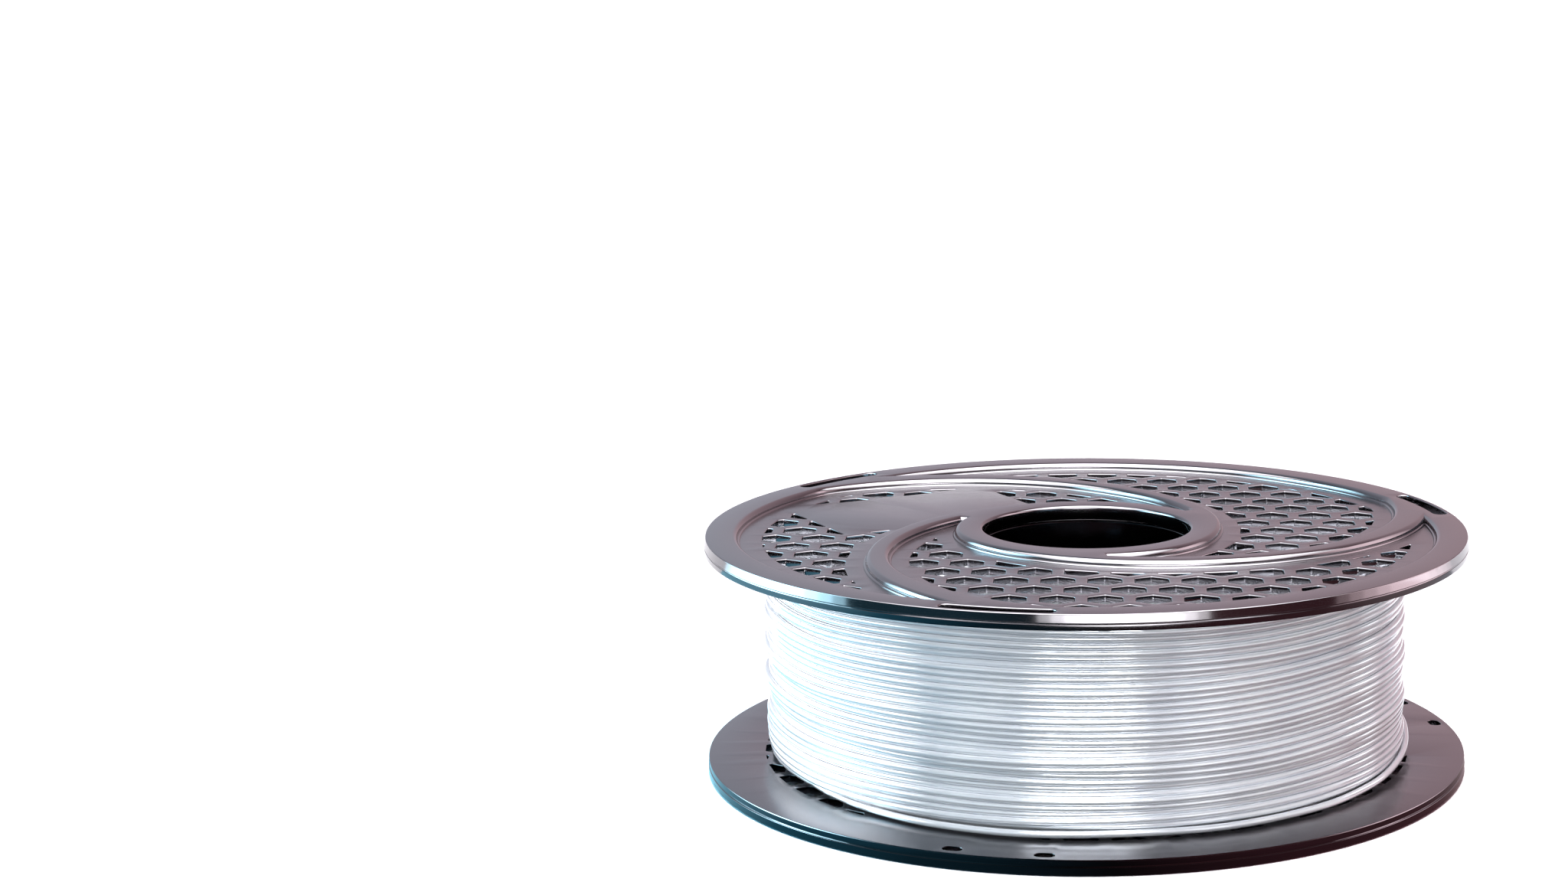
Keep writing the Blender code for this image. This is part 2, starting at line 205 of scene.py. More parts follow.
def area(polygon):
    """Signed area, positive anticlockwise."""
    pairs = zip(polygon, polygon[1:] + polygon[:1])
    return sum(a.x * b.y - a.y * b.x for a, b in pairs) / 2


def anticlockwise(polygon):
    """The polygon, reversed if it runs clockwise."""
    return polygon if area(polygon) > 0 else polygon[::-1]


def with_neighbours(polygon):
    """Each corner with the one before it and the one after it."""
    return zip(polygon[-1:] + polygon[:-1], polygon, polygon[1:] + polygon[:1])


def with_round_corners(polygon, radius, steps):
    """A convex polygon with its corners rounded, tighter where its sides are short."""
    rounded = []
    for before, here, after in with_neighbours(polygon):
        into, out = here - before, after - here
        half = into.angle(out) / 2
        reach = min(radius * math.tan(half), into.length * 0.4, out.length * 0.4)
        start, end = here - into.normalized() * reach, here + out.normalized() * reach
        for i in range(steps + 1):
            t = i / steps
            rounded.append(start * (1 - t) ** 2 + here * (2 * t * (1 - t)) + end * t**2)
    return rounded


def grown(outline, distance):
    """An anticlockwise outline moved outward by a distance, with mitred corners."""
    moved = []
    for before, here, after in with_neighbours(outline):
        normals = []
        for a, b in ((before, here), (here, after)):
            along = (b - a).normalized()
            normals.append(Vector((along.y, -along.x)))
        middle = normals[0] + normals[1]
        mitre = 2.0 / max(middle.length_squared, 4.0 / MITRE_LIMIT**2)
        moved.append(here + middle * (mitre * distance))
    return moved


def clipped(polygon, point, normal):
    """The part of a convex polygon on the side of the line that the normal points to."""
    kept = []
    for here, there in zip(polygon, polygon[1:] + polygon[:1]):
        depth, next_depth = (here - point).dot(normal), (there - point).dot(normal)
        if depth >= 0:
            kept.append(here)
        if depth * next_depth < 0:
            kept.append(here.lerp(there, depth / (depth - next_depth)))
    return kept


def without_short_sides(polygon, least=SHORTEST_SIDE):
    """The polygon without points that crowd the one before them."""
    kept = []
    for here in polygon:
        if not kept or (here - kept[-1]).length > least:
            kept.append(here)
    if len(kept) > 1 and (kept[0] - kept[-1]).length <= least:
        kept.pop()
    return kept


# The flange's outlines.


def rim_crossing(centre, radius, rim_r):
    """Azimuth where a circle's right-hand side crosses the inside of the rim."""
    reach = centre.length
    cosine = (reach**2 + rim_r**2 - radius**2) / (2 * rim_r * reach)
    return azimuth(centre) - math.degrees(math.acos(cosine))


def arm_outer_centres():
    """Centres of the two arcs of an arm's outer edge, and the angle where they join."""
    first = polar(HUB_RING_R - ARM_ARC_1_R, ARM_START)
    join = ARM_START + ARM_ARC_1_SWEEP
    return first, first + polar(ARM_ARC_1_R - ARM_ARC_2_R, join), join


def recess_outline(inset):
    """Foot of the walls of the first recess: its crest outline moved in by inset."""
    first, second, join = arm_outer_centres()
    rim_r, hub_r = RIM_INNER_R - inset, HUB_RING_R + inset
    inner_r, outer_r = ARM_INNER_R - inset, ARM_ARC_2_R + inset
    outer_rim = rim_crossing(second, outer_r, rim_r)
    inner_rim = rim_crossing(ARM_INNER_CENTRE, inner_r, rim_r) - THIRD
    inner_centre = turned(ARM_INNER_CENTRE, -THIRD)
    crotch_azimuth = CROTCH_AZIMUTH - THIRD + math.degrees(inset / hub_r)
    along = inner_centre.dot(polar(1.0, crotch_azimuth))
    crotch_r = along + math.sqrt(along**2 - inner_centre.length_squared + inner_r**2)
    outline = arc(AXIS, hub_r, crotch_azimuth, ARM_START)
    outline += arc(first, ARM_ARC_1_R + inset, ARM_START, join)[1:]
    outline += arc(second, outer_r, join, azimuth(polar(rim_r, outer_rim) - second))[1:]
    outline += arc(AXIS, rim_r, outer_rim, inner_rim)[1:]
    start = azimuth(polar(rim_r, inner_rim) - inner_centre)
    end = azimuth(polar(crotch_r, crotch_azimuth) - inner_centre)
    outline += arc(inner_centre, inner_r, start, end - 360.0)[1:]
    return anticlockwise(outline)


def beside_inner_edge(offset):
    """Whether this offset from the inner edge's centre points at that edge in the first recess."""
    inner_rim = rim_crossing(ARM_INNER_CENTRE, ARM_INNER_R, RIM_INNER_R) - THIRD
    start = azimuth(polar(RIM_INNER_R, inner_rim) - turned(ARM_INNER_CENTRE, -THIRD))
    return (start - azimuth(offset)) % 360.0 < 180.0


def lattice():
    """Centres of the regular hexagon lattice across the whole flange."""
    rows = round(FLANGE_R / CELL_ROW) + 1
    columns = round(FLANGE_R / CELL_PITCH) + 1
    for row in range(-rows, rows + 1):
        for column in range(-columns, columns + 1):
            offset = Vector((column + 0.5 * (row % 2), row))
            yield CELL_ORIGIN + Vector((offset.x * CELL_PITCH, offset.y * CELL_ROW))


def panel_side(middle):
    """A point and the outward normal of the plain panel's side nearest to this cell."""
    local = turned(middle, -PANEL_TURN)
    sides = [
        (PANEL_LOW.x - local.x, PANEL_LOW, Vector((-1, 0))),
        (local.x - PANEL_HIGH.x, PANEL_HIGH, Vector((1, 0))),
        (PANEL_LOW.y - local.y, PANEL_LOW, Vector((0, -1))),
        (local.y - PANEL_HIGH.y, PANEL_HIGH, Vector((0, 1))),
    ]
    _, corner, normal = max(sides, key=lambda side: side[0])
    return turned(corner, PANEL_TURN), turned(normal, PANEL_TURN)


def cell_in_recess(middle, recess):
    """Walls of the hexagon about this centre, cut to one recess's grille."""
    corner_r = CELL_FLATS / math.sqrt(3) - CELL_ROUND / math.cos(math.radians(30))
    turn = -THIRD * recess
    local = turned(middle, turn)
    cell = [turned(middle + polar(corner_r, 30 + 60 * i), turn) for i in range(6)]
    margin = GRILLE_MARGIN + CELL_ROUND
    limits = [
        (AXIS, RIM_INNER_R - RIM_MARGIN - CELL_ROUND, True),
        (AXIS, HUB_RING_R + margin, False),
    ]
    inner_centre = turned(ARM_INNER_CENTRE, -THIRD)
    if beside_inner_edge(local - inner_centre):
        limits.append((inner_centre, ARM_INNER_R - margin, True))
    first, second, join = arm_outer_centres()
    bearing = azimuth(local - first)
    if ARM_START < bearing < join:
        limits.append((first, ARM_ARC_1_R + margin, False))
    elif bearing >= join:
        limits.append((second, ARM_ARC_2_R + margin, False))
    for centre, radius, inside in limits:
        outward = (local - centre).normalized()
        cell = clipped(cell, centre + outward * radius, -outward if inside else outward)
    cell = [turned(point, -turn) for point in cell]
    if recess == PANEL_RECESS:
        point, normal = panel_side(middle)
        cell = clipped(cell, point + normal * CELL_ROUND, normal)
    return without_short_sides(cell)


def grille_cells(recess):
    """Every hexagon of one recess's grille, those at its edges cut short."""
    cells = [cell_in_recess(middle, recess) for middle in lattice()]
    whole = [cell for cell in cells if len(cell) > 2 and area(cell) > LEAST_CELL_AREA]
    return [with_round_corners(cell, CELL_CORNER, 3) for cell in whole]


def rounded_slot(middle_azimuth, length, width):
    """A slot with round ends that follows the rim."""
    half = math.degrees((length - width) / 2 / TIE_R)
    low, high = middle_azimuth - half, middle_azimuth + half
    end_r = width / 2
    outline = arc(AXIS, TIE_R + end_r, low, high)
    outline += arc(polar(TIE_R, high), end_r, high, high + 180, END_STEP)[1:]
    outline += arc(AXIS, TIE_R - end_r, high, low)[1:]
    outline += arc(polar(TIE_R, low), end_r, low + 180, low + 360, END_STEP)[1:-1]
    return anticlockwise(outline)


def ring_sector(inner_r, outer_r, middle_azimuth, inner_span, outer_span):
    """A sector of a ring, with its own span in degrees at each radius."""
    low, high = middle_azimuth - outer_span / 2, middle_azimuth + outer_span / 2
    outline = arc(AXIS, outer_r, low, high)
    low, high = middle_azimuth - inner_span / 2, middle_azimuth + inner_span / 2
    return anticlockwise(outline + arc(AXIS, inner_r, high, low))


# Meshes.


class Shell:
    """Faces gathered into one welded mesh. Faces that lie flat are shaded flat, walls smooth."""

    def __init__(self):
        self.spots = {}
        self.faces = []
        self.smooth = []

    def add(self, corners, smooth):
        """Adds a face with its corners anticlockwise seen from outside."""
        face = [self.spots.setdefault(corner, len(self.spots)) for corner in corners]
        if len(set(face)) > 2:
            self.faces.append(face)
            self.smooth.append(smooth)

    def flat(self, z, outer, holes, facing_up):
        """Fills an outline at height z, leaving out the holes."""
        points, outlines = [], []
        for outline in [outer, *holes]:
            outlines.append(list(range(len(points), len(points) + len(outline))))
            points += outline
        _, _, triangles, sources, _, owners = delaunay_2d_cdt(points, [], outlines, 0, CDT_EPSILON)
        for triangle, owner in zip(triangles, owners):
            if list(owner) == [0]:
                corners = [points[sources[index][0]] for index in triangle]
                corners = corners if facing_up else corners[::-1]
                self.add([(corner.x, corner.y, z) for corner in corners], False)

    def walls(self, rings, hole):
        """Joins outlines of equal length, each with its height, listed from the top down."""
        for (upper, high), (lower, low) in zip(rings, rings[1:]):
            for i in range(len(upper)):
                j = (i + 1) % len(upper)
                corners = [
                    (lower[i].x, lower[i].y, low),
                    (lower[j].x, lower[j].y, low),
                    (upper[j].x, upper[j].y, high),
                    (upper[i].x, upper[i].y, high),
                ]
                self.add(corners[::-1] if hole else corners, True)

    def mesh(self, name):
        """The gathered faces as a mesh in metres."""
        mesh = bpy.data.meshes.new(name)
        mesh.from_pydata([(x * MM, y * MM, z * MM) for x, y, z in self.spots], [], self.faces)
        mesh.polygons.foreach_set("use_smooth", self.smooth)
        mesh.set_sharp_from_angle(angle=SHARP_ANGLE)
        mesh.validate()
        return mesh


def rounding(radius, steps):
    """Points (across, down) of a quarter round from a flat top into a vertical wall."""
    angles = [math.pi / 2 * i / steps for i in range(steps + 1)]
    return [(radius * (1 - math.sin(turn)), radius * (1 - math.cos(turn))) for turn in angles]


def hole_rings(outline, top, bottom, top_round, bottom_round, steps=4):
    """Outlines of a hole's wall from its rounded upper edge to its rounded lower edge."""
    rings = [(grown(outline, across), top - down) for across, down in rounding(top_round, steps)]
    lower = rounding(bottom_round, steps) if bottom_round else [(0.0, 0.0)]
    rings += [(grown(outline, across), bottom + down) for across, down in reversed(lower)]
    return rings


def rim_rings():
    """The rim's outer wall: a drafted band, a hollow groove under it and a plain band."""
    edge_r, floor_r = FLANGE_R - RIM_DRAFT, FLANGE_R - GROOVE_DEPTH
    lower_r = FLANGE_R - RIM_DRAFT / 4
    profile = [(edge_r - across, FLANGE_T - down) for across, down in rounding(RIM_ROUND, 5)]
    profile.append((FLANGE_R, PARTING_Z + GROOVE_EDGE))
    profile.append((FLANGE_R - GROOVE_EDGE, PARTING_Z))
    profile.append((floor_r, PARTING_Z - GROOVE_EDGE))
    profile.append((floor_r - GROOVE_EDGE, (PARTING_Z + GROOVE_LOW) / 2))
    profile.append((floor_r, GROOVE_LOW + GROOVE_EDGE))
    profile.append((lower_r, GROOVE_LOW))
    lower = rounding(RIM_ROUND, 4)
    profile += [(lower_r - across, down) for across, down in reversed(lower)]
    return [(circle(radius, RIM_STEPS), z) for radius, z in profile]


def recess_rings(outline):
    """A recess's wall from its rounded crest down to the rounding at its foot."""
    crest = rounding(CREST_ROUND, 8)
    foot = rounding(FOOT_ROUND, 4)
    foot_top = PLATE_T + FOOT_ROUND
    rings = [(grown(outline, across), FLANGE_T - down) for across, down in crest]
    rings += [(grown(outline, across - FOOT_ROUND), foot_top - down) for across, down in foot]
    return rings


def flange_mesh():
    """The upper flange."""
    shell = Shell()
    rim = rim_rings()
    bore = hole_rings(circle(BORE_R, BORE_STEPS), FLANGE_T, 0.0, BORE_ROUND, CELL_ROUND)
    shell.walls(rim, False)
    shell.walls(bore, True)
    top_holes, back_holes = [bore[0][0]], [bore[-1][0]]
    base_recess = recess_outline(CREST_ROUND)
    window_offset = math.degrees(WINDOW_SPACING / 2 / TIE_R)
    window_size = WINDOW_LENGTH - WINDOW_INSET, WINDOW_WIDTH - WINDOW_INSET
    for third in range(SWIRL):
        turn = THIRD * third
        recess = recess_rings([turned(point, turn) for point in base_recess])
        shell.walls(recess, True)
        top_holes.append(recess[0][0])
        floor_holes = []
        for cell in grille_cells(third):
            rings = hole_rings(cell, PLATE_T, 0.0, CELL_ROUND, CELL_BACK_ROUND, 3)
            shell.walls(rings, True)
            floor_holes.append(rings[0][0])
            back_holes.append(rings[-1][0])
        shell.flat(PLATE_T, recess[-1][0], floor_holes, True)

        slot = rounded_slot(TIE_AZIMUTH + turn, CHANNEL_LENGTH, CHANNEL_WIDTH)
        channel = hole_rings(slot, FLANGE_T, CHANNEL_FLOOR, CHANNEL_ROUND, 0.0)
        shell.walls(channel, True)
        top_holes.append(channel[0][0])
        windows = []
        for side in (-window_offset, window_offset):
            slot = rounded_slot(TIE_AZIMUTH + turn + side, *window_size)
            rings = hole_rings(slot, CHANNEL_FLOOR, 0.0, CELL_BACK_ROUND, WINDOW_ROUND)
            shell.walls(rings, True)
            windows.append(rings[0][0])
            back_holes.append(rings[-1][0])
        shell.flat(CHANNEL_FLOOR, channel[-1][0], windows, True)

    for i in range(TONGUES):
        middle = TIE_AZIMUTH + 360.0 / TONGUES * i
        inner_r = TONGUE_OUTER_R - TONGUE_WALL
        sector = ring_sector(inner_r, TONGUE_OUTER_R, middle, TONGUE_SPAN, TONGUE_SPAN)
        shell.walls([(sector, 0.0), (sector, -TONGUE_HEIGHT)], False)
        shell.flat(-TONGUE_HEIGHT, sector, [], False)
        back_holes.append(sector)

    shell.flat(FLANGE_T, rim[0][0], top_holes, True)
    shell.flat(0.0, rim[-1][0], back_holes, False)
    return shell.mesh("flange")


def core_mesh():
    """The core: barrel, bore sleeve and ribs."""
    shell = Shell()
    inner_r, outer_r = BORE_R + SLEEVE_WALL, BARREL_R - BARREL_WALL
    step = 360.0 / TONGUES
    spans = [step - math.degrees(RIB_T / radius) for radius in (inner_r, outer_r)]
    barrel = [(circle(BARREL_R, RIM_STEPS), z) for z in (CORE_HIGH, CORE_LOW)]
    bore = hole_rings(circle(BORE_R, BORE_STEPS), CORE_HIGH, CORE_LOW, CELL_ROUND, CELL_ROUND)
    shell.walls(barrel, False)
    shell.walls(bore, True)
    sectors = []
    for i in range(TONGUES):
        sector = ring_sector(inner_r, outer_r, TIE_AZIMUTH + step * i, *spans)
        shell.walls([(sector, CORE_HIGH), (sector, CORE_LOW)], True)
        sectors.append(sector)
    shell.flat(CORE_HIGH, barrel[0][0], [bore[0][0], *sectors], True)
    shell.flat(CORE_LOW, barrel[1][0], [bore[-1][0], *sectors], False)
    return shell.mesh("core")


# The filament.


def waves(seed, count, lowest, highest):
    """A smooth random function of one variable, about -1 to 1, made of sine waves."""
    random = np.random.default_rng(seed)
    rates = random.uniform(lowest, highest, count)
    phases = random.uniform(0, 2 * np.pi, count)

    def value(x):
        parts = zip(rates, phases)
        return sum(np.sin(rate * x + phase) for rate, phase in parts) / math.sqrt(count)

    return value


def swell(seed, count):
    """A smooth random function of height (mm) and azimuth (rad), the same after a whole turn."""
    random = np.random.default_rng(seed)
    lengths = random.uniform(5.0, 11.0, count)
    turns = random.integers(-3, 4, count)
    phases = random.uniform(0, 2 * np.pi, count)

    def value(z, around):
        total = 0.0
        for length, turn, phase in zip(lengths, turns, phases):
            total = total + np.sin(2 * np.pi * z / length + turn * around + phase)
        return total / math.sqrt(count)

    return value


def wound_layer(radius, seed, uneven, samples):
    """Centre line of one layer: a helix whose turns touch but never cross.

    Returns radius, azimuth and height arrays along the strand.
    """
    around = np.linspace(0, 2 * np.pi, samples, endpoint=False)
    turn = np.arange(LAYER_TURNS)[:, None]
    along = turn * 2 * np.pi + around[None, :]
    low, high = WINDING_LOW + STRAND_D / 2, WINDING_HIGH - STRAND_D / 2
    nominal = low + (high - low) * along / (2 * np.pi * LAYER_TURNS)
    sunk = np.clip(waves(seed, count=7, lowest=0.15, highest=2.2)(along), 0, None)
    swelling = SWELL * swell(seed + 1, count=6)(nominal, around[None, :])
    reach = radius + uneven * (swelling - SUNK * sunk)
    reach += uneven * LEFT_BULGE * np.clip(-np.cos(along), 0, None)
    outward = np.clip(np.diff(reach, axis=0), -LARGEST_STEP, LARGEST_STEP)
    step = np.sqrt(STRAND_D**2 - outward**2)
    loose = waves(seed + 2, count=5, lowest=0.3, highest=1.6)(along[:-1])
    slack = LEAST_SLACK + np.clip(loose, 0, None) ** 2
    climb = step[0, 0] * around / (2 * np.pi)
    room = high - low - (climb + step.sum(axis=0)).max()
    step = step + slack * room / slack.sum(axis=0).max()
    height = low + climb + np.concatenate([np.zeros((1, samples)), np.cumsum(step, axis=0)])
    return reach.ravel(), along.ravel(), height.ravel()


def strand_mesh(name, spots, sides):
    """A round strand along points given in millimetres."""
    spots = np.asarray(spots, float)
    along = np.gradient(spots, axis=0)
    along /= np.linalg.norm(along, axis=1)[:, None]
    outward = spots * [1, 1, 0]
    outward -= along * (outward * along).sum(axis=1)[:, None]
    outward /= np.linalg.norm(outward, axis=1)[:, None]
    upward = np.cross(along, outward)
    turn = np.linspace(0, 2 * np.pi, sides, endpoint=False)[None, :, None]
    ring = np.cos(turn) * outward[:, None, :] + np.sin(turn) * upward[:, None, :]
    verts = (spots[:, None, :] + ring * STRAND_D / 2).reshape(-1, 3) * MM
    first = np.arange(len(spots) - 1)[:, None] * sides
    side = np.arange(sides)[None, :]
    beside = (side + 1) % sides
    ahead = first + sides
    quads = np.stack([first + side, first + beside, ahead + beside, ahead + side], -1)
    faces = quads.reshape(-1, 4).tolist()
    faces += [list(range(sides))[::-1], list(range(len(verts) - sides, len(verts)))]
    mesh = bpy.data.meshes.new(name)
    mesh.from_pydata(verts.tolist(), [], faces)
    mesh.shade_smooth()
    return mesh


def layer_spots(radius, seed, uneven, samples, mirrored):
    """A layer's centre line as points; a mirrored layer runs down where the other runs up."""
    reach, around, height = wound_layer(radius, seed, uneven, samples)
    side = -1 if mirrored else 1
    return np.stack([reach * np.cos(around), side * reach * np.sin(around), height], -1)


def winding_body_mesh():
    """The layers further in, which show only at both ends of the winding, as ripples."""
    inner_r, outer_r = BARREL_R + GAP, WINDING_R - 2.0 * STRAND_D
    pitch = (outer_r - inner_r) / INNER_LAYERS
    random = np.random.default_rng(RIPPLE_SEED)
    profile = []
    for end, sign in ((WINDING_HIGH, 1), (WINDING_LOW, -1)):
        ripples = []
        for layer in range(INNER_LAYERS):
            middle = inner_r + pitch * (layer + 0.5)
            sink = random.uniform(0.0, DEEPEST_SINK)
            for i in range(RIPPLE_STEPS):
                turn = math.pi * (1 - i / RIPPLE_STEPS)
                depth = sink + STRAND_D / 2 * (1 - math.sin(turn))
                ripples.append((middle + pitch / 2 * math.cos(turn), end - sign * depth))
        ripples.append((outer_r, end - sign * STRAND_D))
        profile += ripples[::-1] if sign > 0 else ripples
    shell = Shell()
    rings = [(circle(radius, BORE_STEPS), z) for radius, z in profile]
    shell.walls(rings, True)
    shell.walls([rings[-1], rings[0]], True)
    return shell.mesh("winding_body")


def smooth_route(knots, steps):
    """Points of a Catmull-Rom curve through the knots."""
    padded = [2 * knots[0] - knots[1], *knots, 2 * knots[-1] - knots[-2]]
    route = []
    for a, b, c, d in zip(padded, padded[1:], padded[2:], padded[3:]):
        for i in range(steps):
            t = i / steps
            quadratic = (2 * a - 5 * b + 4 * c - d) * t**2
            cubic = (3 * b - a - 3 * c + d) * t**3
            route.append(0.5 * (2 * b + (c - a) * t + quadratic + cubic))
    return route + [knots[-1]]


def on_spool(radius, degrees, z):
    """A point given by radius, azimuth and height."""
    return polar(radius, degrees).to_3d() + Vector((0, 0, z))


def tail_route():
    """The outer end: off the winding, down one tie window, along the channel and up the other."""
    beside_r = WINDING_R + GAP + STRAND_D / 2
    channel_z = GAP + STRAND_D / 2
    window_z = FLANGE_T - CHANNEL_FLOOR / 2
    middle = TIE_AZIMUTH + THIRD
    down, up = -WINDOW_SPACING / 2, WINDOW_SPACING / 2

    def along_rim(distance, z, radius=TIE_R):
        """A point this far along the rim from the slot's middle."""
        return on_spool(radius, middle + math.degrees(distance / TIE_R), z)

    knots = [
        on_spool(beside_r - 1.0, middle - 60, 7.7),
        on_spool(beside_r - 0.4, middle - 52, 7.6),
        on_spool(beside_r, middle - 46, 7.6),
        on_spool(beside_r, middle - 40, 7.5),
        on_spool(beside_r + 0.2, middle - 34, 7.4),
        on_spool(beside_r + 1.4, middle - 25, 7.2),
        on_spool(beside_r + 4.4, middle - 17, 7.0),
        along_rim(down - 9.0, 6.9, TIE_R - 3.0),
        along_rim(down - 4.0, 6.4, TIE_R - 0.7),
        along_rim(down - 1.3, 5.0, TIE_R - 0.1),
        along_rim(down, window_z),
        along_rim(down + 1.0, channel_z + 0.6),
        along_rim(down + 2.4, channel_z),
        along_rim(down + 6.0, channel_z),
        along_rim(up - 6.0, channel_z),
        along_rim(up - 2.4, channel_z),
        along_rim(up - 1.0, channel_z + 0.6),
        along_rim(up, window_z),
        along_rim(up + 1.3, 5.0),
        along_rim(up + 2.3, 7.6),
        along_rim(up + 2.7, 10.6, TIE_R - 0.2),
    ]
    return smooth_route(knots, 8)


def start_route():
    """The inner end: from under the first turn, through the barrel's hole and along inside."""
    knots = [
        on_spool(BARREL_R, TIE_AZIMUTH, ANCHOR_Z),
        on_spool(BARREL_R - 2.0, TIE_AZIMUTH, ANCHOR_Z),
        on_spool(BARREL_R - 4.4, TIE_AZIMUTH, ANCHOR_Z + 0.6),
        on_spool(BARREL_R - 5.6, TIE_AZIMUTH, ANCHOR_Z + 3.4),
        on_spool(BARREL_R - 5.8, TIE_AZIMUTH, ANCHOR_Z + 8.0),
    ]
    return smooth_route(knots, 8)


def loose_turn_route():
    """The slack start of the last layer: along the winding's foot, then up over its turns."""
    foot = WINDING_LOW + STRAND_D / 2
    inside, beside = WINDING_R - STRAND_D, WINDING_R + STRAND_D / 2
    knots = [
        on_spool(inside - 0.6, -158, foot + 1.6),
        on_spool(inside + 0.2, -143, foot + 0.7),
        on_spool(inside + 1.3, -128, foot + 0.1),
        on_spool(beside - 0.2, -113, foot),
        on_spool(beside, -95, foot),
        on_spool(beside, -70, foot),
        on_spool(beside + 0.1, -50, foot + 0.1),
        on_spool(beside + 0.1, -35, foot + 0.5),
        on_spool(beside, -22, foot + 1.4),
        on_spool(beside - 0.2, -8, foot + 2.8),
        on_spool(beside - 0.4, 8, foot + 4.2),
        on_spool(inside + 0.6, 26, foot + 5.4),
        on_spool(inside - 0.5, 42, foot + 6.0),
    ]
    return smooth_route(knots, 12)


# Materials.


def node_material(name):
    """A material with its node tree, shader and a helper that adds and links nodes."""
    made = bpy.data.materials.new(name)
    made.use_nodes = True
    tree = made.node_tree
    shader = tree.nodes["Principled BSDF"]

    def add(kind, inputs=(), **settings):
        node = tree.nodes.new(kind)
        for key, value in settings.items():
            setattr(node, key, value)
        for key, value in dict(inputs).items():
            if isinstance(value, bpy.types.NodeSocket):
                tree.links.new(value, node.inputs[key])
            else:
                node.inputs[key].default_value = value
        return node

    return made, tree, shader, add


def set_stops(ramp, stops):
    """Gives a colour ramp these stops, each a position and a colour."""
    while len(ramp.elements) < len(stops):
        ramp.elements.new(0.5)
    for element, (position, colour) in zip(ramp.elements, stops):
        element.position = position
        element.color = (*colour, 1.0)


def moulded_plastic(name, colour, polish, satin, flow_scale):
    """Moulded plastic, polished on edges and walls and satin on its flat faces.

    Faint flow marks change its tone and gloss.
    """
    made, tree, shader, add = node_material(name)
    place = add("ShaderNodeTexCoord")
    flow = add(
        "ShaderNodeTexNoise",
        {"Vector": place.outputs["Object"], "Scale": flow_scale, "Detail": 3.0},
    ).outputs["Fac"]
    tint = add("ShaderNodeValToRGB", {"Fac": flow})
    dark, light = [c * 0.93 for c in colour], [c * 1.07 for c in colour]
    set_stops(tint.color_ramp, ((0.35, dark), (0.65, light)))
    facing = add("ShaderNodeSeparateXYZ", {"Vector": place.outputs["Normal"]}).outputs["Z"]
    level = add("ShaderNodeMath", {0: facing}, operation="ABSOLUTE").outputs["Value"]
    finish = add(
        "ShaderNodeMapRange",
        {"Value": level, "From Min": 0.955, "From Max": 0.995, "To Min": polish, "To Max": satin},
    ).outputs["Result"]
    uneven = add("ShaderNodeMapRange", {"Value": flow, "To Min": 0.88, "To Max": 1.12})
    gloss = add(
        "ShaderNodeMath", {0: finish, 1: uneven.outputs["Result"]}, operation="MULTIPLY"
    )
    tree.links.new(tint.outputs["Color"], shader.inputs["Base Color"])
    tree.links.new(gloss.outputs["Value"], shader.inputs["Roughness"])
    shader.inputs["Metallic"].default_value = 1.0
    return made


def silk_filament():
    """Silky white filament: a pearly gloss, fine grain and a faint change of tone."""
    made, tree, shader, add = node_material("silk_filament")
    place = add("ShaderNodeTexCoord").outputs["Object"]
    tone = add("ShaderNodeTexNoise", {"Vector": place, "Scale": 90.0, "Detail": 2.0})
    grain = add("ShaderNodeTexNoise", {"Vector": place, "Scale": 1500.0, "Detail": 2.0})
    tint = add("ShaderNodeValToRGB", {"Fac": tone.outputs["Fac"]})
    set_stops(tint.color_ramp, ((0.3, (0.8, 0.82, 0.86)), (0.7, (0.87, 0.885, 0.91))))
    gloss = add(
        "ShaderNodeMapRange", {"Value": tone.outputs["Fac"], "To Min": 0.1, "To Max": 0.16}
    )
    bump = add(
        "ShaderNodeBump",
        {"Height": grain.outputs["Fac"], "Strength": 0.03, "Distance": 0.00005},
    )
    tree.links.new(tint.outputs["Color"], shader.inputs["Base Color"])
    tree.links.new(gloss.outputs["Result"], shader.inputs["Roughness"])
    tree.links.new(bump.outputs["Normal"], shader.inputs["Normal"])
    shader.inputs["IOR"].default_value = 1.55
    shader.inputs["Metallic"].default_value = 0.6
    return made


# Assembly.


def piece(name, mesh, looks, node, lift=0.0):
    """A visible piece that stands for a CAD node and rides with it."""
    thing = bpy.data.objects.new(name, mesh)
    mesh.materials.clear()
    mesh.materials.append(looks)
    bpy.context.scene.collection.objects.link(thing)
    thing.location.z = lift * MM
    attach(thing, BODY)
    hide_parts(node)
    return thing


def mirrored(mesh, name):
    """The mesh's mirror image in z, still facing out."""
    image = mesh.copy()
    image.name = name
    image.transform(Matrix.Scale(-1, 4, (0, 0, 1)))
    image.flip_normals()
    return image


def add_flanges(looks):
    """Both flanges: the lower one is the mirror image of the upper."""
    upper = flange_mesh()
    lower = mirrored(upper, "flange_mirrored")
    return [
        piece("upper_flange_moulding", upper, looks, "upper_flange", SPOOL_HIGH - FLANGE_T),
        piece("lower_flange_moulding", lower, looks, "lower_flange", FLANGE_T),
    ]


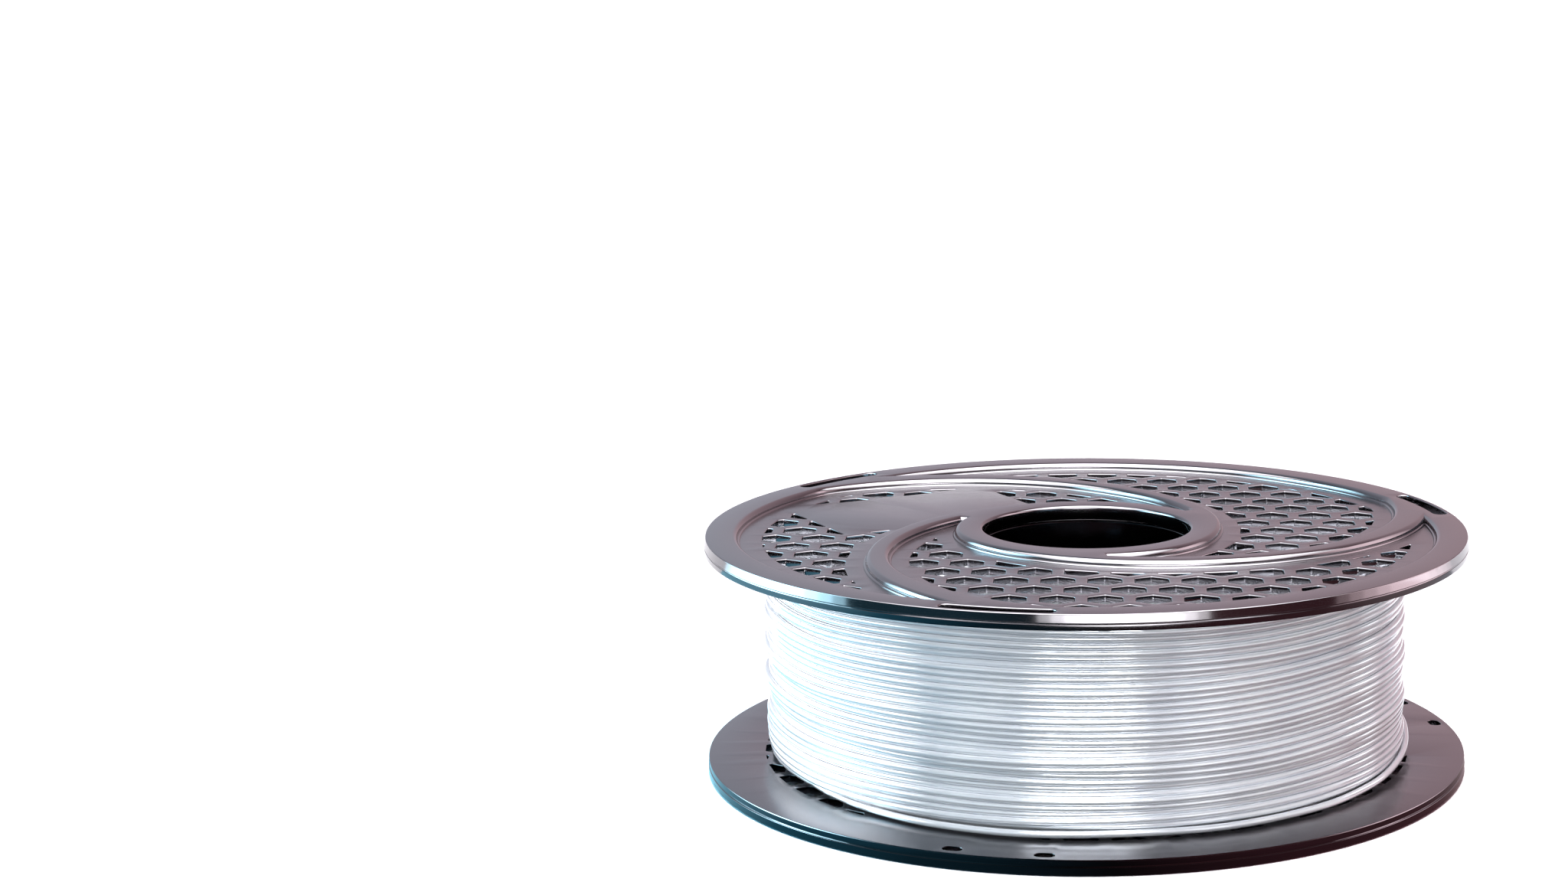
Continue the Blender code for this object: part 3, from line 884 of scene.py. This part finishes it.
def add_filament(looks):
    """The wound strand as its visible layers, its slack turn and its two ends."""
    outer_r, under_r = WINDING_R - STRAND_D / 2, WINDING_R - STRAND_D * UNDER_DEPTH
    outer = layer_spots(outer_r, OUTER_SEED, OUTER_UNEVEN, OUTER_SAMPLES, mirrored=False)
    under = layer_spots(under_r, UNDER_SEED, UNDER_UNEVEN, UNDER_SAMPLES, mirrored=True)
    slack, tail, start = loose_turn_route(), tail_route(), start_route()
    parts = [
        ("outer_layer", strand_mesh("outer_layer", outer, OUTER_SIDES), "filament_winding"),
        ("under_layer", strand_mesh("under_layer", under, UNDER_SIDES), "filament_winding"),
        ("inner_layers", winding_body_mesh(), "filament_winding"),
        ("slack_turn", strand_mesh("slack_turn", slack, STRAND_SIDES), "filament_winding"),
        ("tied_end", strand_mesh("tied_end", tail, STRAND_SIDES), "filament_tail"),
        ("anchored_end", strand_mesh("anchored_end", start, STRAND_SIDES), "filament_start"),
    ]
    return [piece(name, mesh, looks, node) for name, mesh, node in parts]


# Stage.


def sheet(name, corners, looks):
    """A flat piece of the stage."""
    mesh = bpy.data.meshes.new(name)
    mesh.from_pydata(corners, [], [tuple(range(len(corners)))])
    mesh.materials.append(looks)
    thing = bpy.data.objects.new(name, mesh)
    thing.location.z = SPOOL_LOW * MM
    bpy.context.scene.collection.objects.link(thing)
    return thing


def add_floor():
    """A pale floor under the spool, with a sun of its own that keeps it white."""
    half = FLOOR_HALF
    corners = [(-half, -half, 0), (half, -half, 0), (half, half, 0), (-half, half, 0)]
    looks, _, shader, _ = node_material("floor_paint")
    shader.inputs["Base Color"].default_value = (0.88, 0.88, 0.9, 1.0)
    shader.inputs["Roughness"].default_value = 0.9
    floor = sheet("floor", corners, looks)
    light = bpy.data.lights.new("floor_light", "SUN")
    light.energy = 4.4
    light.angle = math.radians(1)
    lamp = bpy.data.objects.new("floor_light", light)
    bpy.context.scene.collection.objects.link(lamp)
    lamp.light_linking.receiver_collection = group("floor_only", [floor])


def add_reflector():
    """A glowing ring on the floor, seen only in reflections: teal at the left, rosy at the right."""
    looks, tree, shader, add = node_material("reflector_glow")
    place = add("ShaderNodeTexCoord").outputs["Object"]
    around = add("ShaderNodeTexGradient", {"Vector": place}, gradient_type="RADIAL")
    glow = add("ShaderNodeValToRGB", {"Fac": around.outputs["Fac"]})
    stops = (
        (0.03, (0.42, 0.95, 1.2)),
        (0.11, (0.04, 0.22, 0.33)),
        (0.18, (0.015, 0.06, 0.09)),
        (0.26, (0.01, 0.01, 0.012)),
        (0.34, (0.1, 0.035, 0.045)),
        (0.42, (0.14, 0.06, 0.07)),
        (0.52, (0.45, 0.36, 0.37)),
        (0.9, (0.42, 0.95, 1.2)),
    )
    set_stops(glow.color_ramp, stops)
    tree.links.new(glow.outputs["Color"], shader.inputs["Emission Color"])
    shader.inputs["Emission Strength"].default_value = 1.0
    shader.inputs["Base Color"].default_value = (0.0, 0.0, 0.0, 1.0)
    shader.inputs["Specular IOR Level"].default_value = 0.0
    turns = np.linspace(*REFLECTOR_SPAN, 48)
    inner = [polar(REFLECTOR_INNER_R, turn) for turn in turns]
    outer = [polar(REFLECTOR_OUTER_R, turn) for turn in turns[::-1]]
    card = sheet("reflector", [(*spot, REFLECTOR_LIFT) for spot in inner + outer], looks)
    card.visible_camera = False
    card.visible_shadow = False


def group(name, things):
    """A collection of pieces for lights that are set for them alone."""
    gathered = bpy.data.collections.new(name)
    for thing in things:
        gathered.objects.link(thing)
    return gathered


def add_softbox(name, receivers, place, size, colour, radiance, edge=SOFT_EDGE, blockers=None):
    """A rectangular light facing the spool, for one group of pieces.

    place is its azimuth (0 in front, positive to the right), elevation and distance. It fades
    towards its sides because it is a stack of panels, each as wide as one step of the edge says.
    """
    azimuth_degrees, elevation_degrees, distance = place
    around, above = math.radians(azimuth_degrees), math.radians(elevation_degrees)
    aim = Vector((0, 0, (SPOOL_LOW + SPOOL_HIGH) / 2 * MM))
    direction = Vector(
        (math.sin(around) * math.cos(above), -math.cos(around) * math.cos(above), math.sin(above))
    )
    for step, spread in enumerate(edge):
        light = bpy.data.lights.new(name, "AREA")
        light.shape = "RECTANGLE"
        light.size, light.size_y = size[0] * spread, size[1]
        light.color = colour
        light.energy = radiance * math.pi * light.size * light.size_y / len(edge)
        lamp = bpy.data.objects.new(name, light)
        lamp.location = aim + direction * (distance * (1 + PANEL_GAP * step))
        lamp.rotation_euler = direction.to_track_quat("Z", "Y").to_euler()
        lamp.visible_camera = False
        lamp.light_linking.receiver_collection = receivers
        lamp.light_linking.blocker_collection = blockers
        bpy.context.scene.collection.objects.link(lamp)


def add_lights(flanges, strands):
    """Softboxes above, in front and on both sides, toned separately for plastic and filament."""
    white, cool, warm = (1.0, 1.0, 1.0), (0.5, 0.87, 1.0), (1.0, 0.8, 0.82)
    plastic = group("plastic", flanges)
    upper = group("upper_flange_only", flanges[:1])
    add_softbox("overhead", upper, (0, 64, 1.2), (2.6, 2.1), white, 8.5)
    add_softbox("left_panel", plastic, (-92, 17, 0.345), (0.26, 0.24), cool, 14.0)
    add_softbox("right_panel", plastic, (95, 17, 0.345), (0.26, 0.24), warm, 3.0)
    add_softbox("low_strip", upper, (9, 4.6, 0.3), (0.16, 0.108), white, 11.5)
    filament = group("filament", strands)
    end = group("winding_end", strands[1:3])
    sky = (0.88, 0.94, 1.0)
    for name, receivers, *setting, edge in (
        ("front_band", filament, (0, 48, 0.32), (0.17, 0.46), (0.93, 0.97, 1.0), 8.7, HARD_EDGE),
        ("left_key", filament, (-104, 12, 1.0), (1.25, 1.2), white, 5.6, SOFT_EDGE),
        ("wide_fill", filament, (0, 8, 1.6), (3.6, 2.6), sky, 0.38, HARD_EDGE),
        ("right_fill", filament, (66, 8, 1.5), (2.0, 2.4), (0.92, 1.0, 0.98), 0.56, HARD_EDGE),
        ("right_glint", filament, (117, 24, 1.1), (0.2, 0.5), (0.9, 1.0, 1.0), 1.8, HARD_EDGE),
        ("top_fill", end, (0, 82, 1.0), (1.6, 1.6), white, 0.8, HARD_EDGE),
    ):
        add_softbox(name, receivers, *setting, edge, filament)


def add_world():
    """Even studio surroundings: bright behind the spool, cooler at the left, dim in front."""
    world = bpy.data.worlds.new("studio")
    bpy.context.scene.world = world
    world.use_nodes = True
    tree = world.node_tree
    background = tree.nodes["Background"]
    place = tree.nodes.new("ShaderNodeTexCoord")
    split = tree.nodes.new("ShaderNodeSeparateXYZ")
    tree.links.new(place.outputs["Generated"], split.inputs["Vector"])

    def ramp(axis, *stops):
        """A colour ramp along one axis of the sky, from -1 to 1."""
        span = tree.nodes.new("ShaderNodeMapRange")
        span.inputs["From Min"].default_value = -1.0
        made = tree.nodes.new("ShaderNodeValToRGB")
        tree.links.new(split.outputs[axis], span.inputs["Value"])
        tree.links.new(span.outputs["Result"], made.inputs["Fac"])
        set_stops(made.color_ramp, stops)
        return made.outputs["Color"]

    back = ramp(
        "X", (0.42, (0.64, 0.66, 0.76)), (0.5, (0.655, 0.55, 0.63)), (0.58, (0.69, 0.5, 0.55))
    )
    front = ramp(
        "X", (0.2, (0.03, 0.1, 0.14)), (0.45, (0.008, 0.008, 0.01)), (0.8, (0.13, 0.05, 0.06))
    )
    behind = ramp("Y", (0.45, (0, 0, 0)), (0.65, (0.4, 0.4, 0.4)), (0.85, (1, 1, 1)))
    blend = tree.nodes.new("ShaderNodeMix")
    blend.data_type = "RGBA"
    sockets = [entry for entry in blend.inputs if entry.enabled]
    for socket, source in zip(sockets, (behind, front, back)):
        tree.links.new(source, socket)
    result = [entry for entry in blend.outputs if entry.enabled]
    tree.links.new(result[0], background.inputs["Color"])


def add_camera():
    """A long lens looking slightly down, with the spool right of the picture's middle."""
    camera = bpy.data.cameras.new("camera")
    camera.lens = 65.66
    camera.sensor_width = 36.0
    camera.shift_x = -0.193
    viewer = bpy.data.objects.new("camera", camera)
    viewer.location = (0.0, -0.7373, 0.2153)
    viewer.rotation_euler = (math.radians(80.0), 0.0, 0.0)
    bpy.context.scene.collection.objects.link(viewer)
    bpy.context.scene.camera = viewer


bpy.context.scene.view_settings.view_transform = "Standard"
add_camera()
flange_plastic = moulded_plastic(
    "flange_plastic", (0.19, 0.182, 0.195), polish=0.1, satin=0.24, flow_scale=14.0
)
# The core's plastic is darker than the flange's. This is painted shade, so the deep bore, where the
# core shows, reads black.
core_plastic = moulded_plastic(
    "core_plastic", (0.08, 0.08, 0.085), polish=0.1, satin=0.2, flow_scale=30.0
)
flanges = add_flanges(flange_plastic)
piece("core_moulding", core_mesh(), core_plastic, "core")
strands = add_filament(silk_filament())
add_floor()
add_reflector()
add_lights(flanges, strands)
add_world()
